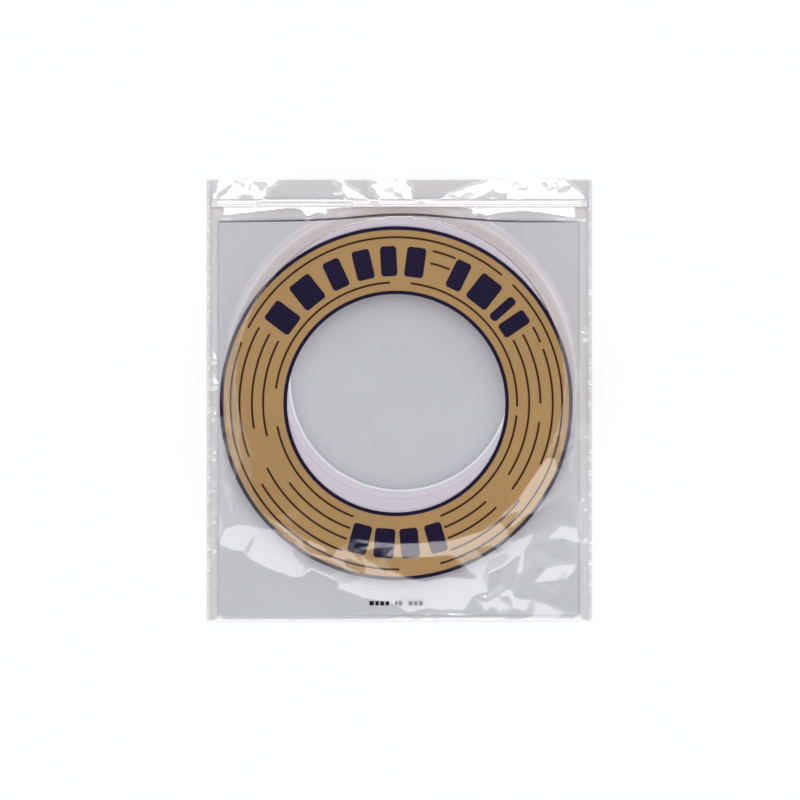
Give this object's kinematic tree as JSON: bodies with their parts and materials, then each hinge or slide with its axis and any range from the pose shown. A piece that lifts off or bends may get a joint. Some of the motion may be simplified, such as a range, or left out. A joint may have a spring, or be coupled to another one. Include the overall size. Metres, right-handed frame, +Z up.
{
  "type": "copper foil tape roll in a resealable bag",
  "caption": "Roll of narrow copper foil tape with a paper liner, lying on a backing card inside a clear zip-top film bag with a printed ring.",
  "frame": {"origin": "middle of the bag's footprint, on the surface that it lies on", "axes": "+Z up, along the roll's axis; +Y towards the bag's mouth; +X to the right seen from above"},
  "size_m": [0.1344, 0.1539, 0.0074],
  "materials": {
    "clear_film": "clear glossy polyethylene film, lightly creased; the front panel carries an ink print",
    "weld_film": "clear film, heat-welded and slightly hazy",
    "zip_plastic": "clear extruded polyethylene profile",
    "grey_card": "matt pale blue-grey card",
    "core_board": "matt off-white board",
    "starter_adhesive": "clear double-sided tape",
    "wound_tape_edge": "edges of wound paper liner with copper glints between them",
    "copper_foil": "bright bare copper",
    "release_liner": "smooth white paper"
  },
  "bodies": {
    "bag": {"back_film": "clear_film", "front_film": "clear_film", "left_side_weld": "weld_film", "right_side_weld": "weld_film", "bottom_fold": "clear_film", "zip_rib": "zip_plastic"},
    "mouth": {"front_lip": "clear_film", "zip_jaws": "zip_plastic"},
    "insert": {"backing_card": "grey_card"},
    "roll": {"core_tube": "core_board", "starter_strip": "starter_adhesive", "wound_tape": "wound_tape_edge", "outer_foil_turn": "copper_foil", "outer_liner_turn": "release_liner"},
    "liner_end": {"liner_tail": "release_liner"},
    "foil_end": {"foil_tail": "copper_foil"}
  },
  "joints": [
    {"name": "mouth_open", "type": "hinge", "parent": "bag", "child": "mouth", "pos_m": [0, 0.0669, 0.00153], "axis": [1, 0, 0], "range_deg": [0, 60], "deforming": ["zip_jaws"]},
    {"name": "insert_slide", "type": "slide", "parent": "bag", "child": "insert", "axis": [0, 1, 0], "range_m": [0, 0.155], "deforming": ["front_film", "zip_rib", "front_lip"]},
    {"name": "roll_spin", "type": "hinge", "parent": "insert", "child": "roll", "pos_m": [0.0003, 0.0071, 0.0012], "axis": [0, 0, 1], "continuous": true},
    {"name": "tail_peel", "type": "hinge", "parent": "roll", "child": "liner_end", "pos_m": [-0.02819, -0.04224, 0.0012], "axis": [0, 0, 1], "range_deg": [0, 60]},
    {"name": "foil_peel", "type": "hinge", "parent": "liner_end", "child": "foil_end", "pos_m": [-0.02819, -0.04224, 0.0012], "axis": [0, 0, 1], "range_deg": [0, 40]}
  ]
}
